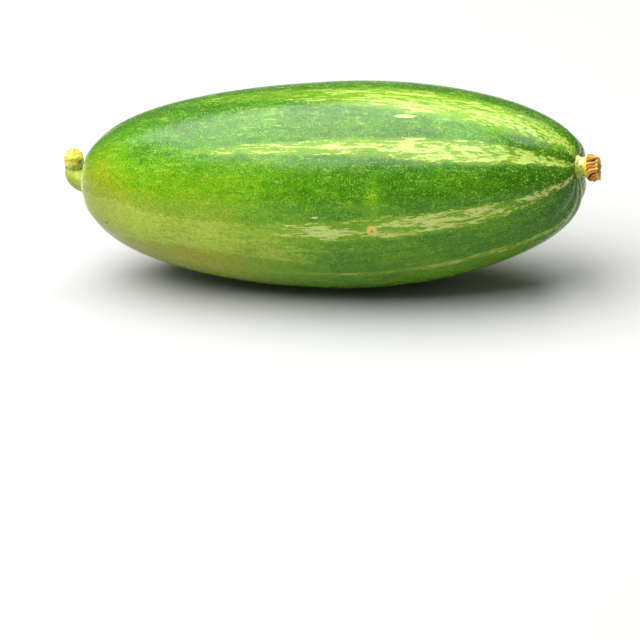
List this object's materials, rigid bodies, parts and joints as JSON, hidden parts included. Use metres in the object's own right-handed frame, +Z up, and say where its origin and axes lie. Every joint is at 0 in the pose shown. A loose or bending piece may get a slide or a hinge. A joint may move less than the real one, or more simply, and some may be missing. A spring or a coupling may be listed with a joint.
{
  "type": "pointed gourd",
  "caption": "Whole striped pointed gourd lying on its belly, with a bent cut stalk at one end and a dried brown flower base at the other.",
  "frame": {"origin": "on the surface that the gourd lies on, under the middle of its box", "axes": "+X along the gourd from the stalk to the dried flower base, +Z up from the belly that it lies on"},
  "size_m": [0.1026, 0.0364, 0.0359],
  "materials": {
    "skin": "satin, waxy green skin with pale broken stripes and fine pale dots",
    "stalk": "matte, soft green stalk with a yellow cut end",
    "dried_flower_base": "matte, dry and wrinkled, golden brown with a pale collar"
  },
  "bodies": {
    "root": {"fruit": "skin", "stalk": "stalk", "flower_base": "dried_flower_base"}
  },
  "joints": []
}
